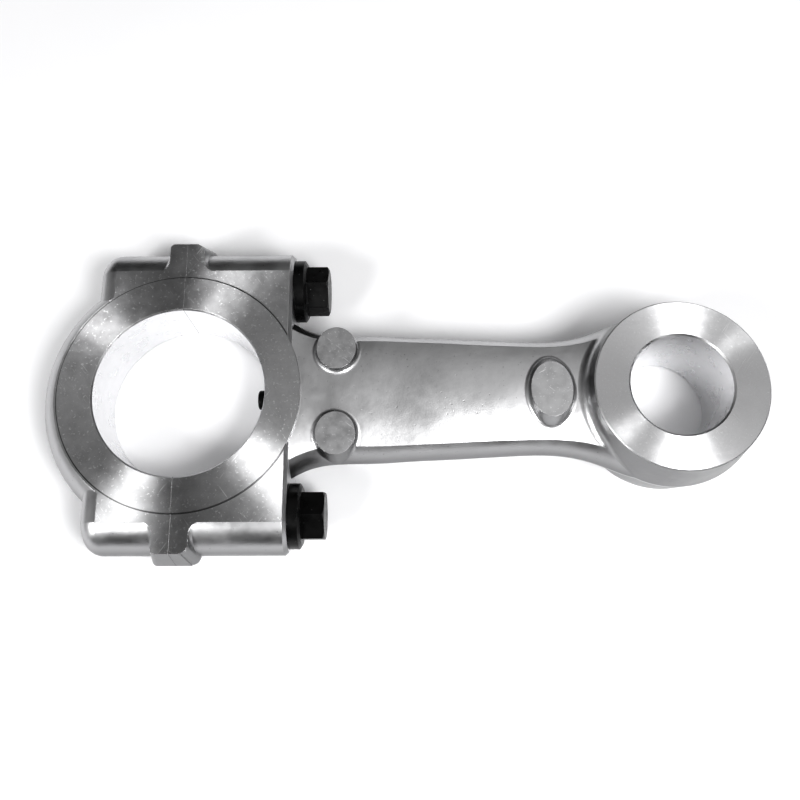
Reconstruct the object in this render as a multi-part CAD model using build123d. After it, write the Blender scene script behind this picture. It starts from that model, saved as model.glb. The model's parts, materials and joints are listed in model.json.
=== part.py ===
from build123d import *
import math
import os

os.makedirs("parts", exist_ok=True)

# Connecting rod for a small reciprocating compressor or engine, with a split big end.
# Frame: origin at the centre of the crankpin bore, +X along the rod to the small end,
# +Z along both bores.  The rod is symmetric about the planes Y = 0 and Z = 0, apart from
# the three pads on its upper side.  All sizes are in millimetres.

# ---- big end ----
CRANK_BORE_R = 23.0
CRANK_BORE_CHAMFER = 0.4
RING_R = 32.5
RING_HALF_WIDTH = 10.0
SHOULDER_HALF_WIDTH = 9.5
SHOULDER_X = 29.6
SHOULDER_BEVEL = 1.0
STRAP_R = 38.4

# ---- bolt bosses, one above and one below the crankpin bore ----
BOLT_Y = 32.1
BOSS_Y = 32.8
BOSS_R = 9.7
CAP_BOSS_END_X = -24.6
CAP_BOSS_END_ROUND = 5.2

# ---- tabs that straddle the split between rod and cap ----
# each pair gives the value at mid-thickness, then at the face
TAB_HALF_WIDTH = (6.5, 4.75)
TAB_END_Y = (45.1, 42.8)
TAB_CAP_CORNER_R = (1.6, 1.2)
TAB_ROD_CORNER_R = (2.3, 1.9)
TAB_FLARE_R = (0.9, 3.2)
TAB_STEP = 0.25
TAB_SINK = 0.15
TAB_LEVELS = 4

# ---- small end ----
CENTRE_DISTANCE = 133.0
PIN_BORE_R = 13.5
PIN_BORE_CHAMFER = 0.5
SMALL_END_FACE_R = 23.0
SMALL_END_MID_R = 24.8
SMALL_END_HALF_WIDTH = 14.0
SMALL_END_EDGE_BREAK = 0.3
SMALL_END_FILLET_R = 3.0

# ---- shank: one row per station along X ----
# (x, half width at the parting line, crown height, face edge y, face edge z)
SHANK_STATIONS = (
    (18.0, 26.0, 9.2, 21.0, 7.6),
    (29.0, 22.4, 9.1, 18.6, 7.4),
    (33.0, 20.2, 9.0, 16.6, 7.2),
    (38.0, 18.7, 9.0, 15.2, 7.1),
    (50.0, 18.1, 8.9, 14.7, 7.0),
    (70.0, 17.2, 8.7, 14.0, 6.8),
    (90.0, 16.2, 8.3, 13.1, 6.4),
    (101.0, 16.2, 8.1, 13.0, 6.2),
    (109.0, 17.6, 8.3, 14.0, 6.3),
    (117.0, 20.6, 9.0, 16.6, 6.8),
    (123.0, 22.4, 9.4, 18.4, 7.2),
)
SHANK_SIDE_BULGE = 0.45

# ---- ejector pads, on the upper side only ----
# (centre x, centre y, half length in x, half length in y, slope in x, slope in y)
PAD_TOP_Z = 10.6
PADS = (
    (42.0, 11.7, 5.3, 5.8, 0.06, 0.06),
    (42.0, -11.7, 5.3, 5.8, 0.06, 0.06),
    (99.5, 0.0, 5.6, 7.6, 0.20, 0.60),
)
PAD_ROOT_Z = 0.5
PAD_FILLET_R = 1.2

# ---- holes for the cap screws ----
SCREW_CLEARANCE_R = 4.25
SCREW_TAP_R = 4.06
SCREW_TAP_DEPTH = 20.0
SLEEVE_OUTER_R = 5.25
SLEEVE_INNER_R = 4.3
SLEEVE_HALF_LENGTH = 5.0
SLEEVE_CAP_GAP = 0.03
SLEEVE_END_GAP = 0.3

# ---- cap screws: hexagon heads with a flange ----
FLANGE_R = 8.75
FLANGE_RIM_THICKNESS = 2.7
FLANGE_TOP_THICKNESS = 3.4
FLANGE_ROOT_R = 7.7
HEX_ACROSS_FLATS = 12.2
HEAD_HEIGHT = 9.5
HEX_CHAMFER = 1.0
SCREW_R = 4.0
SCREW_LENGTH = 45.0
LOWER_SCREW_TURN_DEG = 4.0
THREAD_LENGTH = 24.0
THREAD_PITCH = 1.25
THREAD_DEPTH = 0.6
SCREW_TIP_CHAMFER = 1.0

# ---- pin that keeps the upper bearing shell from turning ----
SHELL_PIN_R = 2.7
SHELL_PIN_PROUD = 2.9
SHELL_PIN_DEPTH = 7.0
SHELL_PIN_TIP_ROUND = 0.6

BIG = 200.0


def rod_along_x(radius, x_low, x_high, y):
    """A round bar along X."""
    bar = Cylinder(radius, x_high - x_low)
    return Pos((x_low + x_high) / 2, y, 0) * Rot(0, 90, 0) * bar


def shank_section(x, half_width, crown, edge_y, edge_z):
    """Barrel-shaped cross-section with a crease at the parting line."""
    side_y = (edge_y + half_width) / 2 + SHANK_SIDE_BULGE
    side_z = edge_z / 2 + SHANK_SIDE_BULGE
    lines = [
        ThreePointArc((-edge_y, edge_z), (0, crown), (edge_y, edge_z)),
        ThreePointArc((edge_y, edge_z), (side_y, side_z), (half_width, 0)),
        ThreePointArc((half_width, 0), (side_y, -side_z), (edge_y, -edge_z)),
        ThreePointArc((edge_y, -edge_z), (0, -crown), (-edge_y, -edge_z)),
        ThreePointArc((-edge_y, -edge_z), (-side_y, -side_z), (-half_width, 0)),
        ThreePointArc((-half_width, 0), (-side_y, side_z), (-edge_y, edge_z)),
    ]
    section_plane = Plane(origin=(x, 0, 0), x_dir=(0, 1, 0), z_dir=(1, 0, 0))
    return section_plane * make_face(lines)


def shank():
    sections = [shank_section(*station) for station in SHANK_STATIONS]
    return loft(sections)


def small_end_blank():
    """Drum with draft on both sides of the parting line."""
    cone = Cone(SMALL_END_MID_R, SMALL_END_FACE_R, SMALL_END_HALF_WIDTH)
    upper = Pos(0, 0, SMALL_END_HALF_WIDTH / 2) * cone
    drum = upper + mirror(upper, Plane.XY)
    rims = drum.edges().filter_by(GeomType.CIRCLE).sort_by(Axis.Z)
    drum = chamfer([rims[0], rims[-1]], SMALL_END_EDGE_BREAK)
    return Pos(CENTRE_DISTANCE, 0, 0) * drum


def pad(x, y, half_x, half_y, slope_x, slope_y):
    """Flat-topped pad with sloping walls, rooted inside the shank."""
    height = PAD_TOP_Z - PAD_ROOT_Z
    root = Plane.XY.offset(PAD_ROOT_Z) * Ellipse(half_x + slope_x * height, half_y + slope_y * height)
    top = Plane.XY.offset(PAD_TOP_Z) * Ellipse(half_x, half_y)
    placed = Pos(x, abs(y), 0) * loft([root, top])
    return placed if y >= 0 else mirror(placed, Plane.XZ)


def edges_inside(body, low_corner, high_corner):
    """Edges of the body that lie wholly inside a box."""
    found = []
    for edge in body.edges():
        low = edge.bounding_box().min
        high = edge.bounding_box().max
        above = low.X > low_corner[0] and low.Y > low_corner[1] and low.Z > low_corner[2]
        below = high.X < high_corner[0] and high.Y < high_corner[1] and high.Z < high_corner[2]
        if above and below:
            found.append(edge)
    return found


def add_pad(body, placed):
    """Join one pad to the shank and blend its foot."""
    x, y, half_x, half_y, slope_x, slope_y = placed
    reach_x = half_x + slope_x * PAD_TOP_Z + PAD_FILLET_R
    reach_y = half_y + slope_y * PAD_TOP_Z + PAD_FILLET_R
    body += pad(*placed)
    foot = edges_inside(
        body,
        (x - reach_x, y - reach_y, 0),
        (x + reach_x, y + reach_y, PAD_TOP_Z - SHOULDER_BEVEL),
    )
    return fillet(foot, PAD_FILLET_R)


def quarter(centre, radius, start, end):
    """Quarter circle about centre, from start to end, bulging along their diagonal."""
    way_x = start[0] + end[0] - 2 * centre[0]
    way_y = start[1] + end[1] - 2 * centre[1]
    reach = radius / math.hypot(way_x, way_y)
    middle = (centre[0] + way_x * reach, centre[1] + way_y * reach)
    return ThreePointArc(start, middle, end)


def tab_outline(share):
    """Outline of a tab, at a share of the way from mid-thickness to the face."""

    def between(pair):
        return pair[0] + (pair[1] - pair[0]) * share

    z = share * SHOULDER_HALF_WIDTH
    half = between(TAB_HALF_WIDTH)
    end = between(TAB_END_Y)
    cap_r = between(TAB_CAP_CORNER_R)
    rod_r = between(TAB_ROD_CORNER_R)
    flare = between(TAB_FLARE_R)
    rod_end = end - TAB_STEP
    surface = BOSS_Y + math.sqrt(BOSS_R**2 - z**2)
    root = min(surface - TAB_SINK, rod_end - rod_r - flare - TAB_SINK)
    base = BOSS_Y - BOSS_R / 2
    wide = half + flare
    return make_face(
        [
            Line((-wide, base), (-wide, root)),
            quarter((-wide, root + flare), flare, (-wide, root), (-half, root + flare)),
            Line((-half, root + flare), (-half, end - cap_r)),
            quarter((cap_r - half, end - cap_r), cap_r, (-half, end - cap_r), (cap_r - half, end)),
            Line((cap_r - half, end), (half - rod_r, end)),
            Line((half - rod_r, end), (half - rod_r, rod_end)),
            quarter((half - rod_r, rod_end - rod_r), rod_r, (half - rod_r, rod_end), (half, rod_end - rod_r)),
            Line((half, rod_end - rod_r), (half, root + flare)),
            quarter((wide, root + flare), flare, (half, root + flare), (wide, root)),
            Line((wide, root), (wide, base)),
            Line((wide, base), (-wide, base)),
        ]
    )


def tab(side):
    """Drafted tab on the outside of one bolt boss, flared where it meets the boss."""
    sections = []
    for level in range(TAB_LEVELS):
        share = level / (TAB_LEVELS - 1)
        sections.append(Pos(0, 0, share * SHOULDER_HALF_WIDTH) * tab_outline(share))
    upper = loft(sections)
    whole = upper + mirror(upper, Plane.XY)
    return whole if side > 0 else mirror(whole, Plane.XZ)


def cap_strap():
    """Barrel-sided ring that closes the cap round the bore."""
    profile = make_face(
        [
            Line((0, -RING_HALF_WIDTH), (RING_R, -RING_HALF_WIDTH)),
            ThreePointArc(
                (RING_R, -RING_HALF_WIDTH), (STRAP_R, 0), (RING_R, RING_HALF_WIDTH)
            ),
            Line((RING_R, RING_HALF_WIDTH), (0, RING_HALF_WIDTH)),
            Line((0, RING_HALF_WIDTH), (0, -RING_HALF_WIDTH)),
        ]
    )
    return revolve(Plane.XZ * profile, Axis.Z)


def boss_outline():
    """Cross-section through both bolt bosses and the block between them."""
    outline = Rectangle(2 * BOSS_Y, 2 * SHOULDER_HALF_WIDTH)
    for side in (1, -1):
        outline += Pos(side * BOSS_Y, 0) * Circle(BOSS_R)
    return outline & Rectangle(BIG, 2 * SHOULDER_HALF_WIDTH)


def cap_shoulder():
    """Bolt bosses of the cap, joined, with well rounded blind ends."""
    across = Plane(origin=(CAP_BOSS_END_X, 0, 0), x_dir=(0, 1, 0), z_dir=(1, 0, 0))
    block = extrude(across * boss_outline(), -CAP_BOSS_END_X)
    end = block.faces().sort_by(Axis.X)[0]
    return fillet(end.edges(), CAP_BOSS_END_ROUND)


def rod_shoulder():
    """Bolt bosses of the rod, joined, with flat seats for the screw flanges."""
    across = Plane(origin=(0, 0, 0), x_dir=(0, 1, 0), z_dir=(1, 0, 0))
    straight = SHOULDER_X - SHOULDER_BEVEL
    block = extrude(across * boss_outline(), straight)
    bevel = extrude(across.offset(straight) * boss_outline(), SHOULDER_BEVEL, taper=45)
    return block + bevel


def crank_bore_cutter():
    """Bore with a small lead-in at both faces."""
    cutter = Cylinder(CRANK_BORE_R, 4 * RING_HALF_WIDTH)
    for up in (1, -1):
        mouth = Cone(
            CRANK_BORE_R, CRANK_BORE_R + 2 * CRANK_BORE_CHAMFER, 2 * CRANK_BORE_CHAMFER
        )
        if up < 0:
            mouth = mirror(mouth, Plane.XY)
        cutter += Pos(0, 0, up * RING_HALF_WIDTH) * mouth
    return cutter


def pin_bore_cutter():
    cutter = Cylinder(PIN_BORE_R, 4 * SMALL_END_HALF_WIDTH)
    for up in (1, -1):
        mouth = Cone(PIN_BORE_R, PIN_BORE_R + 2 * PIN_BORE_CHAMFER, 2 * PIN_BORE_CHAMFER)
        if up < 0:
            mouth = mirror(mouth, Plane.XY)
        cutter += Pos(0, 0, up * SMALL_END_HALF_WIDTH) * mouth
    return Pos(CENTRE_DISTANCE, 0, 0) * cutter


def rod_body():
    body = rod_shoulder()
    body += Cylinder(RING_R, 2 * RING_HALF_WIDTH)
    for side in (1, -1):
        body += tab(side)
    body = body & Pos(BIG / 2, 0, 0) * Box(BIG, BIG, BIG)
    body += shank() & Pos(BIG / 2 + 1, 0, 0) * Box(BIG, BIG, BIG)
    body += small_end_blank()
    near_x = CENTRE_DISTANCE - SMALL_END_MID_R - SMALL_END_FILLET_R
    junction = edges_inside(
        body,
        (near_x, -SMALL_END_MID_R, -RING_HALF_WIDTH),
        (CENTRE_DISTANCE, SMALL_END_MID_R, RING_HALF_WIDTH),
    )
    body = fillet(junction, SMALL_END_FILLET_R)
    for placed in PADS:
        body = add_pad(body, placed)
    body -= crank_bore_cutter()
    body -= pin_bore_cutter()
    for side in (1, -1):
        body -= rod_along_x(SCREW_CLEARANCE_R, -1, SHOULDER_X + 1, side * BOLT_Y)
        body -= rod_along_x(SLEEVE_OUTER_R, -1, SLEEVE_HALF_LENGTH, side * BOLT_Y)
    body -= rod_along_x(SHELL_PIN_R, CRANK_BORE_R - 1, CRANK_BORE_R + SHELL_PIN_DEPTH, 0)
    return body


def big_end_cap():
    body = cap_shoulder()
    for side in (1, -1):
        body += tab(side)
    body += cap_strap()
    ring = Cylinder(RING_R, 2 * RING_HALF_WIDTH)
    body = (body & Box(BIG, BIG, 2 * SHOULDER_HALF_WIDTH)) + ring
    body = body & Pos(-BIG / 2, 0, 0) * Box(BIG, BIG, BIG)
    body -= crank_bore_cutter()
    for side in (1, -1):
        body -= rod_along_x(SCREW_TAP_R, -SCREW_TAP_DEPTH, 1, side * BOLT_Y)
        body -= rod_along_x(
            SLEEVE_OUTER_R + SLEEVE_CAP_GAP,
            -SLEEVE_HALF_LENGTH - SLEEVE_END_GAP,
            1,
            side * BOLT_Y,
        )
    return body


def cap_screw(side):
    """Hexagon flange screw that enters the shoulder and threads into the cap."""
    end = -SCREW_LENGTH
    thread_start = end + THREAD_LENGTH
    points = [(0, end), (SCREW_R - SCREW_TIP_CHAMFER, end)]
    points.append((SCREW_R, end + SCREW_TIP_CHAMFER))
    z = end + SCREW_TIP_CHAMFER + THREAD_PITCH / 4
    while z + THREAD_PITCH < thread_start:
        points.append((SCREW_R, z))
        points.append((SCREW_R - THREAD_DEPTH, z + THREAD_PITCH * 0.4))
        points.append((SCREW_R, z + THREAD_PITCH * 0.8))
        z += THREAD_PITCH
    points += [(SCREW_R, 0), (FLANGE_R, 0), (FLANGE_R, FLANGE_RIM_THICKNESS)]
    points += [(FLANGE_ROOT_R, FLANGE_TOP_THICKNESS), (0, FLANGE_TOP_THICKNESS)]
    screw = revolve(Plane.XZ * make_face(Polyline(points, close=True)), Axis.Z)
    hexagon = RegularPolygon(HEX_ACROSS_FLATS / 2, 6, major_radius=False)
    head = extrude(hexagon, HEAD_HEIGHT)
    corner_r = HEX_ACROSS_FLATS / math.sqrt(3)
    top_r = corner_r - HEX_CHAMFER
    dome = Pos(0, 0, HEAD_HEIGHT / 2) * Cylinder(corner_r + 0.1, HEAD_HEIGHT)
    dome = chamfer(dome.edges().sort_by(Axis.Z)[-1], HEX_CHAMFER * 0.55, HEX_CHAMFER)
    screw += head & dome
    turn = 0 if side > 0 else LOWER_SCREW_TURN_DEG
    return Pos(SHOULDER_X, side * BOLT_Y, 0) * Rot(0, 90, 0) * Rot(0, 0, turn) * screw


def locating_sleeve(side):
    """Hollow dowel round the screw, half in the rod and half in the cap."""
    outer = rod_along_x(SLEEVE_OUTER_R, -SLEEVE_HALF_LENGTH, SLEEVE_HALF_LENGTH, side * BOLT_Y)
    outer = chamfer(outer.edges().filter_by(GeomType.CIRCLE), 0.4)
    return outer - rod_along_x(SLEEVE_INNER_R, -BIG / 4, BIG / 4, side * BOLT_Y)


def shell_pin():
    """Short dowel that stands out of the bore wall on the rod's centre line."""
    low = CRANK_BORE_R - SHELL_PIN_PROUD
    pin = rod_along_x(SHELL_PIN_R, low, CRANK_BORE_R + SHELL_PIN_DEPTH, 0)
    return fillet(pin.edges().filter_by(GeomType.CIRCLE).sort_by(Axis.X)[0], SHELL_PIN_TIP_ROUND)


export_step(rod_body(), "parts/rod_body.step")
export_step(big_end_cap(), "parts/big_end_cap.step")
export_step(cap_screw(1), "parts/cap_screw_upper.step")
export_step(cap_screw(-1), "parts/cap_screw_lower.step")
export_step(locating_sleeve(1), "parts/locating_sleeve_upper.step")
export_step(locating_sleeve(-1), "parts/locating_sleeve_lower.step")
export_step(shell_pin(), "parts/shell_locating_pin.step")
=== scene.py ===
import json
import math

import bpy
from mathutils import Matrix, Vector


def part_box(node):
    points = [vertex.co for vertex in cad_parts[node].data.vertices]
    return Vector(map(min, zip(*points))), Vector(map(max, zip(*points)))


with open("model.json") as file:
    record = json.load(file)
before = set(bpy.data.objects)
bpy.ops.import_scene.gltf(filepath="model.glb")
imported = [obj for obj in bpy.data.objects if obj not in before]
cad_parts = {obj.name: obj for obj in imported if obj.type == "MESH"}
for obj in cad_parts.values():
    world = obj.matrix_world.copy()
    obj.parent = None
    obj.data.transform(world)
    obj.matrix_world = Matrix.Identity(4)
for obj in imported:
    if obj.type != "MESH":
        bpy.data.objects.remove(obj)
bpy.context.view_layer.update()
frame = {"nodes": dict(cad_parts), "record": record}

MM = 0.001

# ---- places taken from the record ----
mounts = {mount["name"]: mount for mount in frame["record"]["mounts"]}
CRANK_BORE = Vector(mounts["crankpin_bearing_seat"]["pos_m"])
CRANK_BORE_R = mounts["crankpin_bearing_seat"]["dims"]["r_mm"] * MM
PIN_BORE = Vector(mounts["piston_pin_bore"]["pos_m"])
PIN_BORE_R = mounts["piston_pin_bore"]["dims"]["r_mm"] * MM
BIG_FACE_Z = mounts["big_end_front_face"]["pos_m"][2]
SMALL_FACE_Z = mounts["small_end_front_face"]["pos_m"][2]
PAD_TOP_Z = 10.6 * MM
RING_R = 32.5 * MM
# radius of a thin dark ring painted on the big-end face along the ring's step: painted shade
STEP_SHADE_LINE_R = RING_R + 0.15 * MM
TURNING_PITCH = 0.22 * MM
FLAT = 0.999
STEEPEST_WALL = 0.9
BIG_END_REACH = 50 * MM
SHANK_START = 30 * MM
SHOULDER_SEAT_START = 20 * MM
FACE_TOLERANCE = 0.05 * MM
BIG_FACE_TOLERANCE = 0.6 * MM
BORE_WALL_REACH = 1.3 * MM

# ---- ground: touches the lower edges of both ends ----
GROUND_HALF = 0.3
GROUND_MIDDLE = Vector((60 * MM, 0.0, 0.0))
BIG_CONTACT_INSET = 5.9 * MM
SMALL_CONTACT_REACH = 22.7 * MM
GROUND_GLOW = 0.05

# ---- area lights: name, place, side length, power ----
LIGHT_AIM = Vector((60 * MM, 0.0, 0.0))
LIGHTS = (
    ("key_box", (0.24, -0.17, 0.38), 0.15, 1.15),
    ("back_window", (-0.56, -0.51, 0.74), 0.3, 4.4),
)
BACKDROP_COLOUR = (0.93, 0.93, 0.94, 1.0)

# ---- camera ----
CAMERA_PLACE = Vector((60.84, -64.87, 240.28)) * MM
CAMERA_RIGHT = Vector((1.0, -0.0038, -0.0086)).normalized()
CAMERA_BACK = Vector((0.0072, -0.2721, 0.9623)).normalized()
CAMERA_SENSOR = 36.0
CAMERA_LENS = 40.5
CAMERA_SHIFT_Y = -0.0139


# ---------------------------------------------------------------- node helpers


def new_material(name):
    material = bpy.data.materials.new(name)
    material.use_nodes = True
    tree = material.node_tree
    tree.nodes.clear()
    output = tree.nodes.new("ShaderNodeOutputMaterial")
    shader = tree.nodes.new("ShaderNodeBsdfPrincipled")
    tree.links.new(shader.outputs["BSDF"], output.inputs["Surface"])
    return material, tree, shader


def object_place(tree):
    """Position in the row frame, carried along by whatever the surface rides on."""
    return tree.nodes.new("ShaderNodeTexCoord").outputs["Object"]


def scalar(tree, operation, first, second=0.0):
    node = tree.nodes.new("ShaderNodeMath")
    node.operation = operation
    for socket, value in zip(node.inputs, (first, second)):
        if isinstance(value, (int, float)):
            socket.default_value = value
        else:
            tree.links.new(value, socket)
    return node.outputs[0]


def vector(tree, operation, first, second=(0.0, 0.0, 0.0), output="Vector"):
    node = tree.nodes.new("ShaderNodeVectorMath")
    node.operation = operation
    for socket, value in zip(node.inputs, (first, second)):
        if isinstance(value, (tuple, Vector)):
            socket.default_value = value
        else:
            tree.links.new(value, socket)
    return node.outputs[output]


def split_xyz(tree, place):
    node = tree.nodes.new("ShaderNodeSeparateXYZ")
    tree.links.new(place, node.inputs[0])
    return node.outputs


def join_xyz(tree, x=0.0, y=0.0, z=0.0):
    node = tree.nodes.new("ShaderNodeCombineXYZ")
    for socket, value in zip(node.inputs, (x, y, z)):
        if isinstance(value, (int, float)):
            socket.default_value = value
        else:
            tree.links.new(value, socket)
    return node.outputs[0]


def noise(tree, place, size, detail=3.0, roughness=0.55, stretch=(1.0, 1.0, 1.0)):
    """Noise between 0 and 1 whose blobs are about size metres across."""
    scaled = vector(tree, "MULTIPLY", place, tuple(s / size for s in stretch))
    node = tree.nodes.new("ShaderNodeTexNoise")
    node.inputs["Scale"].default_value = 1.0
    node.inputs["Detail"].default_value = detail
    node.inputs["Roughness"].default_value = roughness
    tree.links.new(scaled, node.inputs["Vector"])
    return node.outputs["Fac"]


def remap(tree, value, low, high, out_low, out_high):
    """Smooth step from out_low to out_high as value goes from low to high."""
    node = tree.nodes.new("ShaderNodeMapRange")
    node.interpolation_type = "SMOOTHSTEP"
    node.clamp = True
    tree.links.new(value, node.inputs["Value"])
    node.inputs["From Min"].default_value = low
    node.inputs["From Max"].default_value = high
    node.inputs["To Min"].default_value = out_low
    node.inputs["To Max"].default_value = out_high
    return node.outputs["Result"]


def mix_colour(tree, share, first, second):
    node = tree.nodes.new("ShaderNodeMix")
    node.data_type = "RGBA"
    for name, value in (("Factor", share), ("A", first), ("B", second)):
        socket = next(s for s in node.inputs if s.name == name and s.enabled)
        if isinstance(value, (int, float, tuple)):
            socket.default_value = value
        else:
            tree.links.new(value, socket)
    return next(s for s in node.outputs if s.enabled)


def grey(value):
    return (value, value, value * 1.01, 1.0)


def bump(tree, height, distance, strength=1.0, normal=None):
    node = tree.nodes.new("ShaderNodeBump")
    node.inputs["Strength"].default_value = strength
    node.inputs["Distance"].default_value = distance
    tree.links.new(height, node.inputs["Height"])
    if normal is not None:
        tree.links.new(normal, node.inputs["Normal"])
    return node.outputs["Normal"]


def soft_edges(tree, radius):
    """Normal that rounds the sharp edges of the solid by a small radius."""
    node = tree.nodes.new("ShaderNodeBevel")
    node.samples = 4
    node.inputs["Radius"].default_value = radius
    return node.outputs["Normal"]


def split_line(tree, place, half_width):
    """1 on the joint between rod and cap, 0 elsewhere."""
    x = scalar(tree, "ABSOLUTE", split_xyz(tree, place)[0])
    return remap(tree, x, half_width * 0.4, half_width, 1.0, 0.0)


def scratches(tree, place, size, angle, amount):
    """Thin straight marks, all roughly in one direction."""
    turn = tree.nodes.new("ShaderNodeVectorRotate")
    turn.rotation_type = "Z_AXIS"
    turn.inputs["Angle"].default_value = angle
    tree.links.new(place, turn.inputs["Vector"])
    lines = noise(tree, turn.outputs["Vector"], size, 2.0, 0.5, (0.06, 1.0, 1.0))
    gate = noise(tree, turn.outputs["Vector"], size * 9, 1.0, 0.5, (0.5, 1.0, 1.0))
    sharp = remap(tree, lines, 0.66, 0.72, 0.0, 1.0)
    return scalar(tree, "MULTIPLY", sharp, remap(tree, gate, 0.5, 0.62, 0.0, amount))


# ---------------------------------------------------------------- materials


def turned_face(name, centre, tone, shine, pitch, shade_line_r=None):
    """Lathe-turned flat face: fine rings about a centre, so highlights fan out from it."""
    material, tree, shader = new_material(name)
    place = object_place(tree)
    flat = vector(tree, "MULTIPLY", vector(tree, "SUBTRACT", place, centre), (1.0, 1.0, 0.0))
    radius = vector(tree, "LENGTH", flat, output="Value")
    rings = scalar(tree, "SINE", scalar(tree, "MULTIPLY", radius, 2 * math.pi / pitch))
    ring_place = join_xyz(tree, radius, 0.0, 0.0)
    uneven = noise(tree, ring_place, 0.35 * MM, 3.0, 0.7)
    specks = noise(tree, place, 0.7 * MM, 2.0, 0.6)
    clouds = noise(tree, place, 5 * MM, 5.0, 0.7)
    marks = scratches(tree, place, 0.5 * MM, 0.9, 1.0)
    marks = scalar(tree, "MAXIMUM", marks, scratches(tree, place, 0.6 * MM, 2.2, 0.8))
    worn = scalar(tree, "MAXIMUM", remap(tree, specks, 0.6, 0.7, 0.0, 0.8), marks)
    colour = mix_colour(tree, clouds, grey(tone * 0.7), grey(min(tone * 1.28, 0.95)))
    colour = mix_colour(tree, worn, colour, grey(0.92))
    # Thin dark ring at the step radius: painted shade along the step at the edge of the turned
    # ring, drawn in colour only.
    if shade_line_r:
        off = scalar(tree, "ABSOLUTE", scalar(tree, "SUBTRACT", radius, shade_line_r))
        painted_step_shade = remap(tree, off, 0.08 * MM, 0.28 * MM, 1.0, 0.0)
        colour = mix_colour(tree, scalar(tree, "MULTIPLY", painted_step_shade, 0.8), colour, grey(0.06))
    seam = split_line(tree, place, 0.045 * MM)
    colour = mix_colour(tree, scalar(tree, "MULTIPLY", seam, 0.6), colour, grey(0.2))
    tree.links.new(colour, shader.inputs["Base Color"])
    shader.inputs["Metallic"].default_value = 1.0
    shader.inputs["Anisotropic"].default_value = 0.97
    rough = remap(tree, clouds, 0.3, 0.7, shine - 0.03, shine + 0.04)
    rough = scalar(tree, "ADD", rough, scalar(tree, "MULTIPLY", worn, 0.1))
    tree.links.new(rough, shader.inputs["Roughness"])
    tree.links.new(vector(tree, "NORMALIZE", flat), shader.inputs["Tangent"])
    height = scalar(tree, "ADD", scalar(tree, "MULTIPLY", rings, 0.25), uneven)
    height = scalar(tree, "SUBTRACT", height, scalar(tree, "MULTIPLY", seam, 2.0))
    normal = bump(tree, height, 0.004 * MM, 0.6, soft_edges(tree, 0.12 * MM))
    tree.links.new(normal, shader.inputs["Normal"])
    return material


def bored_wall(name, tone, shine):
    """Bored hole: fine marks run round the wall, so highlights stretch along the axis."""
    material, tree, shader = new_material(name)
    place = object_place(tree)
    along = join_xyz(tree, 0.0, 0.0, split_xyz(tree, place)[2])
    feed = noise(tree, along, 0.25 * MM, 3.0, 0.7)
    clouds = noise(tree, place, 5 * MM, 3.0, 0.6)
    colour = mix_colour(tree, clouds, grey(tone * 0.9), grey(min(tone * 1.08, 0.95)))
    colour = mix_colour(tree, split_line(tree, place, 0.07 * MM), colour, grey(0.12))
    tree.links.new(colour, shader.inputs["Base Color"])
    shader.inputs["Metallic"].default_value = 1.0
    shader.inputs["Anisotropic"].default_value = 0.6
    shader.inputs["Tangent"].default_value = (0.0, 0.0, 1.0)
    rough = remap(tree, clouds, 0.3, 0.7, shine - 0.04, shine + 0.04)
    tree.links.new(rough, shader.inputs["Roughness"])
    normal = bump(tree, feed, 0.003 * MM, 0.6, soft_edges(tree, 0.12 * MM))
    tree.links.new(normal, shader.inputs["Normal"])
    return material


def cast_skin(name, tone, shine):
    """As-cast aluminium: fine grain, steep walls painted darker as painted shade, a flash line at
    the parting plane.
    """
    material, tree, shader = new_material(name)
    place = object_place(tree)
    grain = noise(tree, place, 0.45 * MM, 3.0, 0.65)
    swell = noise(tree, place, 5 * MM, 2.0, 0.5)
    clouds = noise(tree, place, 11 * MM, 4.0, 0.6)
    pits = remap(tree, noise(tree, place, 0.8 * MM, 2.0, 0.5), 0.24, 0.32, 1.0, 0.0)
    z = scalar(tree, "ABSOLUTE", split_xyz(tree, place)[2])
    flash = remap(tree, z, 0.12 * MM, 0.4 * MM, 1.0, 0.0)
    colour = mix_colour(tree, clouds, grey(tone * 0.84), grey(min(tone * 1.12, 0.95)))
    lean = split_xyz(tree, tree.nodes.new("ShaderNodeTexCoord").outputs["Normal"])[2]
    # Steep walls painted darker: painted shade standing in for the shaded floor that these walls
    # reflect, not a darker metal.
    wall = remap(tree, scalar(tree, "ABSOLUTE", lean), 0.2, 0.8, 0.75, 0.0)
    colour = mix_colour(tree, wall, colour, grey(tone * 0.22))
    colour = mix_colour(tree, scalar(tree, "MULTIPLY", pits, 0.5), colour, grey(tone * 0.35))
    colour = mix_colour(tree, scalar(tree, "MULTIPLY", flash, 0.5), colour, grey(0.92))
    seam = split_line(tree, place, 0.08 * MM)
    colour = mix_colour(tree, seam, colour, grey(0.1))
    tree.links.new(colour, shader.inputs["Base Color"])
    shader.inputs["Metallic"].default_value = 1.0
    rough = remap(tree, clouds, 0.3, 0.7, shine - 0.05, shine + 0.06)
    tree.links.new(rough, shader.inputs["Roughness"])
    grain_height = scalar(tree, "SUBTRACT", grain, pits)
    fine = bump(tree, grain_height, 0.03 * MM, 0.5, soft_edges(tree, 0.3 * MM))
    broad = bump(tree, swell, 0.12 * MM, 0.6, fine)
    ridge = bump(tree, flash, 0.08 * MM, 0.8, broad)
    tree.links.new(ridge, shader.inputs["Normal"])
    return material


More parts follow.
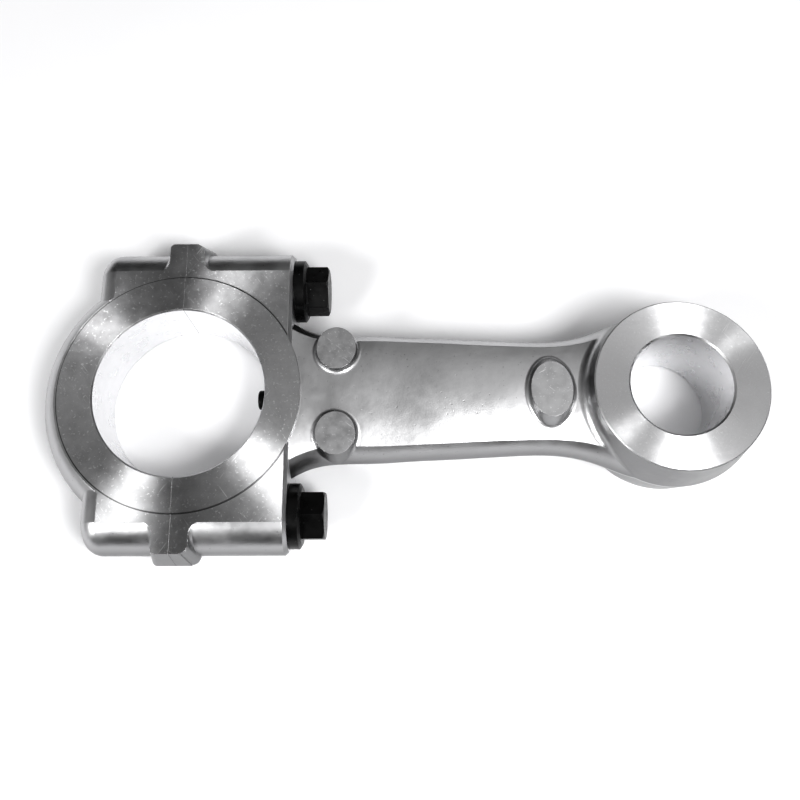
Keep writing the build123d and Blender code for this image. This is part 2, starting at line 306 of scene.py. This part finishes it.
def pad_top(name, tone):
    """Ground-off pad: dull grey with a few crossing scratches."""
    material, tree, shader = new_material(name)
    place = object_place(tree)
    clouds = noise(tree, place, 3 * MM, 4.0, 0.65)
    specks = remap(tree, noise(tree, place, 0.5 * MM, 2.0, 0.6), 0.62, 0.72, 0.0, 0.5)
    marks = scratches(tree, place, 0.5 * MM, -0.5, 1.0)
    marks = scalar(tree, "MAXIMUM", marks, scratches(tree, place, 0.45 * MM, 0.7, 0.8))
    worn = scalar(tree, "MAXIMUM", specks, marks)
    colour = mix_colour(tree, clouds, grey(tone * 0.85), grey(tone * 1.15))
    colour = mix_colour(tree, worn, colour, grey(0.8))
    tree.links.new(colour, shader.inputs["Base Color"])
    shader.inputs["Metallic"].default_value = 1.0
    tree.links.new(remap(tree, clouds, 0.3, 0.7, 0.42, 0.55), shader.inputs["Roughness"])
    height = scalar(tree, "SUBTRACT", noise(tree, place, 0.3 * MM, 2.0), worn)
    normal = bump(tree, height, 0.01 * MM, 0.6, soft_edges(tree, 0.2 * MM))
    tree.links.new(normal, shader.inputs["Normal"])
    return material


def black_steel(name, shine):
    """Black oxide over steel: nearly black, slightly oily, with small bright nicks."""
    material, tree, shader = new_material(name)
    place = object_place(tree)
    grain = noise(tree, place, 0.3 * MM, 3.0, 0.6)
    clouds = noise(tree, place, 3 * MM, 3.0, 0.6)
    nicks = remap(tree, noise(tree, place, 0.7 * MM, 1.0, 0.5), 0.76, 0.8, 0.0, 0.7)
    colour = mix_colour(tree, clouds, grey(0.003), grey(0.009))
    colour = mix_colour(tree, nicks, colour, grey(0.16))
    tree.links.new(colour, shader.inputs["Base Color"])
    shader.inputs["Metallic"].default_value = 0.0
    shader.inputs["Specular IOR Level"].default_value = 0.3
    rough = remap(tree, clouds, 0.3, 0.7, shine - 0.05, shine + 0.08)
    tree.links.new(rough, shader.inputs["Roughness"])
    normal = bump(tree, grain, 0.01 * MM, 0.5, soft_edges(tree, 0.25 * MM))
    tree.links.new(normal, shader.inputs["Normal"])
    return material


def ground_steel(name):
    """Bright ground dowel steel."""
    material, tree, shader = new_material(name)
    place = object_place(tree)
    along = vector(tree, "MULTIPLY", place, (1.0, 0.0, 0.0))
    feed = noise(tree, along, 0.12 * MM, 3.0, 0.7)
    clouds = noise(tree, place, 2 * MM, 3.0, 0.6)
    tree.links.new(mix_colour(tree, clouds, grey(0.5), grey(0.62)), shader.inputs["Base Color"])
    shader.inputs["Metallic"].default_value = 1.0
    tree.links.new(remap(tree, clouds, 0.3, 0.7, 0.2, 0.3), shader.inputs["Roughness"])
    normal = bump(tree, feed, 0.002 * MM, 0.5, soft_edges(tree, 0.15 * MM))
    tree.links.new(normal, shader.inputs["Normal"])
    return material


def paper(name):
    """Matte white ground with a faint tooth and a very weak glow of its own."""
    material, tree, shader = new_material(name)
    place = object_place(tree)
    tooth = noise(tree, place, 0.6 * MM, 3.0, 0.6)
    tone = noise(tree, place, 60 * MM, 2.0, 0.5)
    tree.links.new(mix_colour(tree, tone, grey(0.84), grey(0.88)), shader.inputs["Base Color"])
    tree.links.new(remap(tree, tone, 0.3, 0.7, 0.75, 0.9), shader.inputs["Roughness"])
    tree.links.new(bump(tree, tooth, 0.02 * MM, 0.3), shader.inputs["Normal"])
    shader.inputs["Emission Color"].default_value = grey(1.0)
    shader.inputs["Emission Strength"].default_value = GROUND_GLOW
    return material


# ---------------------------------------------------------------- surfaces of the castings


def is_big_face(centre, normal):
    near_face = abs(abs(centre.z) - BIG_FACE_Z) < BIG_FACE_TOLERANCE
    return abs(normal.z) > FLAT and centre.x < BIG_END_REACH and near_face


def is_small_face(centre, normal):
    return abs(normal.z) > FLAT and abs(abs(centre.z) - SMALL_FACE_Z) < FACE_TOLERANCE


def is_pad_top(centre, normal):
    near_top = abs(centre.z - PAD_TOP_Z) < FACE_TOLERANCE
    return normal.z > FLAT and near_top and centre.x > SHANK_START


def is_bore_wall(centre, normal):
    if abs(normal.z) > STEEPEST_WALL:
        return False
    for axis, radius in ((CRANK_BORE, CRANK_BORE_R), (PIN_BORE, PIN_BORE_R)):
        if math.hypot(centre.x - axis.x, centre.y - axis.y) < radius + BORE_WALL_REACH:
            return True
    return False


def is_machined_end(centre, normal):
    on_split = abs(centre.x) < FACE_TOLERANCE
    return abs(normal.x) > FLAT and (on_split or centre.x > SHOULDER_SEAT_START)


def dress_casting(node, materials):
    """Gives every face of a casting the finish of the surface it belongs to."""
    mesh = frame["nodes"][node].data
    mesh.materials.clear()
    for material in materials.values():
        mesh.materials.append(material)
    order = list(materials)
    for face in mesh.polygons:
        kind = "skin"
        if is_pad_top(face.center, face.normal):
            kind = "pad"
        elif is_small_face(face.center, face.normal):
            kind = "small_face"
        elif is_big_face(face.center, face.normal):
            kind = "big_face"
        elif is_bore_wall(face.center, face.normal):
            kind = "bore"
        elif is_machined_end(face.center, face.normal):
            kind = "end"
        face.material_index = order.index(kind)


def dress(node, material):
    mesh = frame["nodes"][node].data
    mesh.materials.clear()
    mesh.materials.append(material)


def add_materials():
    casting = {
        "skin": cast_skin("as_cast_aluminium", 0.62, 0.36),
        "big_face": turned_face("turned_big_end", CRANK_BORE, 0.64, 0.37, TURNING_PITCH, STEP_SHADE_LINE_R),
        "small_face": turned_face("turned_small_end", PIN_BORE, 0.78, 0.36, TURNING_PITCH),
        "pad": pad_top("ground_pad", 0.42),
        "bore": bored_wall("bored_aluminium", 0.78, 0.3),
        "end": bored_wall("milled_aluminium", 0.7, 0.36),
    }
    for node in ("rod_body", "big_end_cap"):
        dress_casting(node, casting)
    black = black_steel("black_oxide_steel", 0.3)
    for node in ("cap_screw_upper", "cap_screw_lower", "shell_locating_pin"):
        dress(node, black)
    bright = ground_steel("ground_dowel_steel")
    for node in ("locating_sleeve_upper", "locating_sleeve_lower"):
        dress(node, bright)


# ---------------------------------------------------------------- ground, light, camera


def add_ground():
    """Flat white ground that touches the lower edges of both ends, so it tilts slightly."""
    big_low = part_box("big_end_cap")[0].x + BIG_CONTACT_INSET
    small_low = PIN_BORE.x - SMALL_CONTACT_REACH
    slope = (BIG_FACE_Z - SMALL_FACE_Z) / (small_low - big_low)
    corners = []
    for x, y in ((-1, -1), (1, -1), (1, 1), (-1, 1)):
        place = GROUND_MIDDLE + Vector((x, y, 0.0)) * GROUND_HALF
        place.z = -BIG_FACE_Z + (place.x - big_low) * slope
        corners.append(place)
    mesh = bpy.data.meshes.new("ground")
    mesh.from_pydata(corners, [], [(0, 1, 2, 3)])
    ground = bpy.data.objects.new("ground", mesh)
    bpy.context.scene.collection.objects.link(ground)
    mesh.materials.append(paper("white_paper"))


def add_light(name, place, side, power):
    data = bpy.data.lights.new(name, "AREA")
    data.shape = "RECTANGLE"
    data.size = side
    data.size_y = side
    data.energy = power
    light = bpy.data.objects.new(name, data)
    light.location = place
    light.rotation_euler = (LIGHT_AIM - Vector(place)).to_track_quat("-Z", "Y").to_euler()
    bpy.context.scene.collection.objects.link(light)


def add_studio():
    for light in LIGHTS:
        add_light(*light)
    add_world()


def add_world():
    """Room: brighter overhead towards +X, with a pale side far out at -X.

    The camera itself sees a pale backdrop.
    """
    world = bpy.data.worlds.new("studio")
    bpy.context.scene.world = world
    world.use_nodes = True
    tree = world.node_tree
    tree.nodes.clear()
    output = tree.nodes.new("ShaderNodeOutputWorld")
    direction = tree.nodes.new("ShaderNodeTexCoord").outputs["Generated"]
    across, _, up = split_xyz(tree, direction)[:3]
    height = remap(tree, up, 0.45, 0.9, 0.12, 1.0)
    overhead = scalar(tree, "MULTIPLY", height, remap(tree, across, -0.3, 0.32, 0.115, 0.95))
    left = remap(tree, across, -0.55, -0.9, 0.0, 0.3)
    bright = scalar(tree, "ADD", overhead, left)
    room = tree.nodes.new("ShaderNodeBackground")
    tree.links.new(bright, room.inputs["Strength"])
    backdrop = tree.nodes.new("ShaderNodeBackground")
    backdrop.inputs["Color"].default_value = BACKDROP_COLOUR
    path = tree.nodes.new("ShaderNodeLightPath")
    choose = tree.nodes.new("ShaderNodeMixShader")
    tree.links.new(path.outputs["Is Camera Ray"], choose.inputs["Fac"])
    tree.links.new(room.outputs[0], choose.inputs[1])
    tree.links.new(backdrop.outputs[0], choose.inputs[2])
    tree.links.new(choose.outputs[0], output.inputs["Surface"])


def add_camera():
    data = bpy.data.cameras.new("camera")
    data.sensor_width = CAMERA_SENSOR
    data.lens = CAMERA_LENS
    data.shift_y = CAMERA_SHIFT_Y
    data.clip_start = 0.01
    camera = bpy.data.objects.new("camera", data)
    up = CAMERA_BACK.cross(CAMERA_RIGHT).normalized()
    right = up.cross(CAMERA_BACK).normalized()
    turn = Matrix((right, up, CAMERA_BACK)).transposed().to_4x4()
    camera.matrix_world = Matrix.Translation(CAMERA_PLACE) @ turn
    bpy.context.scene.collection.objects.link(camera)
    bpy.context.scene.camera = camera


add_camera()
add_materials()
add_ground()
add_studio()
bpy.context.scene.view_settings.view_transform = "Standard"
bpy.context.scene.view_settings.look = "High Contrast"
